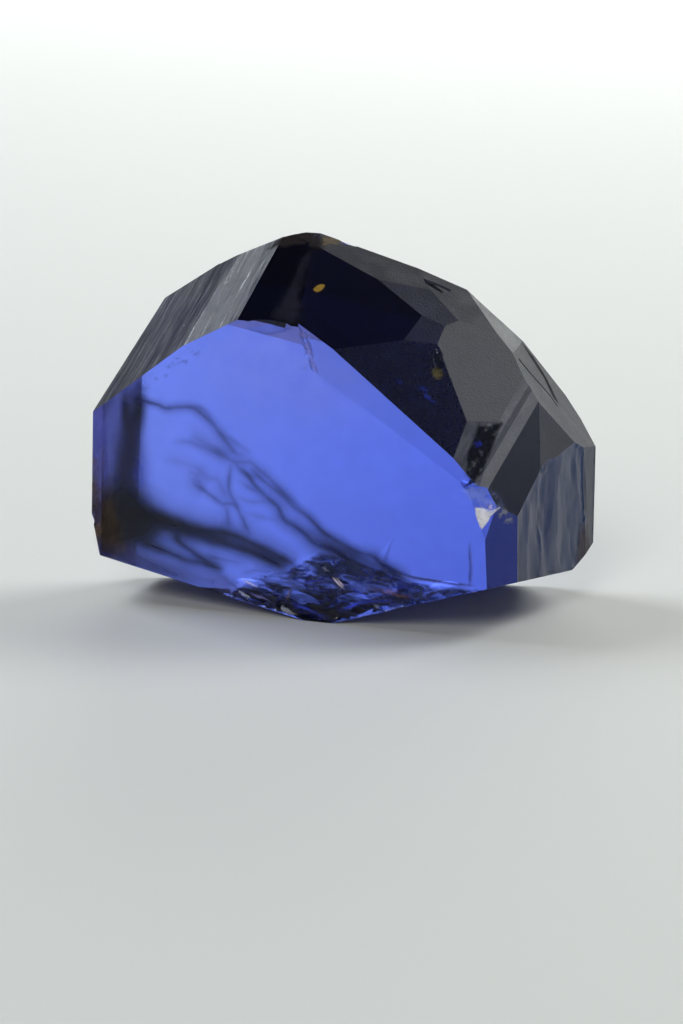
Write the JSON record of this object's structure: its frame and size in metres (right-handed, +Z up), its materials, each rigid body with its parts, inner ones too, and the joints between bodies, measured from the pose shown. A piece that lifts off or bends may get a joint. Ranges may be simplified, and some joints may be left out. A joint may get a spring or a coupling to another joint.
{
  "type": "rough tanzanite crystal",
  "caption": "Rough violet-blue tanzanite crystal with one large polished window, striated prism faces and ground facets, resting on its own small flat.",
  "frame": {"origin": "middle of the bottom of the bounding box, on the level the stone rests on", "axes": "+Z up, +X along the stone's length to the right of the window, -Y out of the window side"},
  "size_m": [0.0472, 0.0248, 0.034],
  "materials": {
    "tanzanite": "polished window, matte ground and striated natural faces"
  },
  "bodies": {
    "root": {"rough_tanzanite": "tanzanite"}
  },
  "joints": []
}
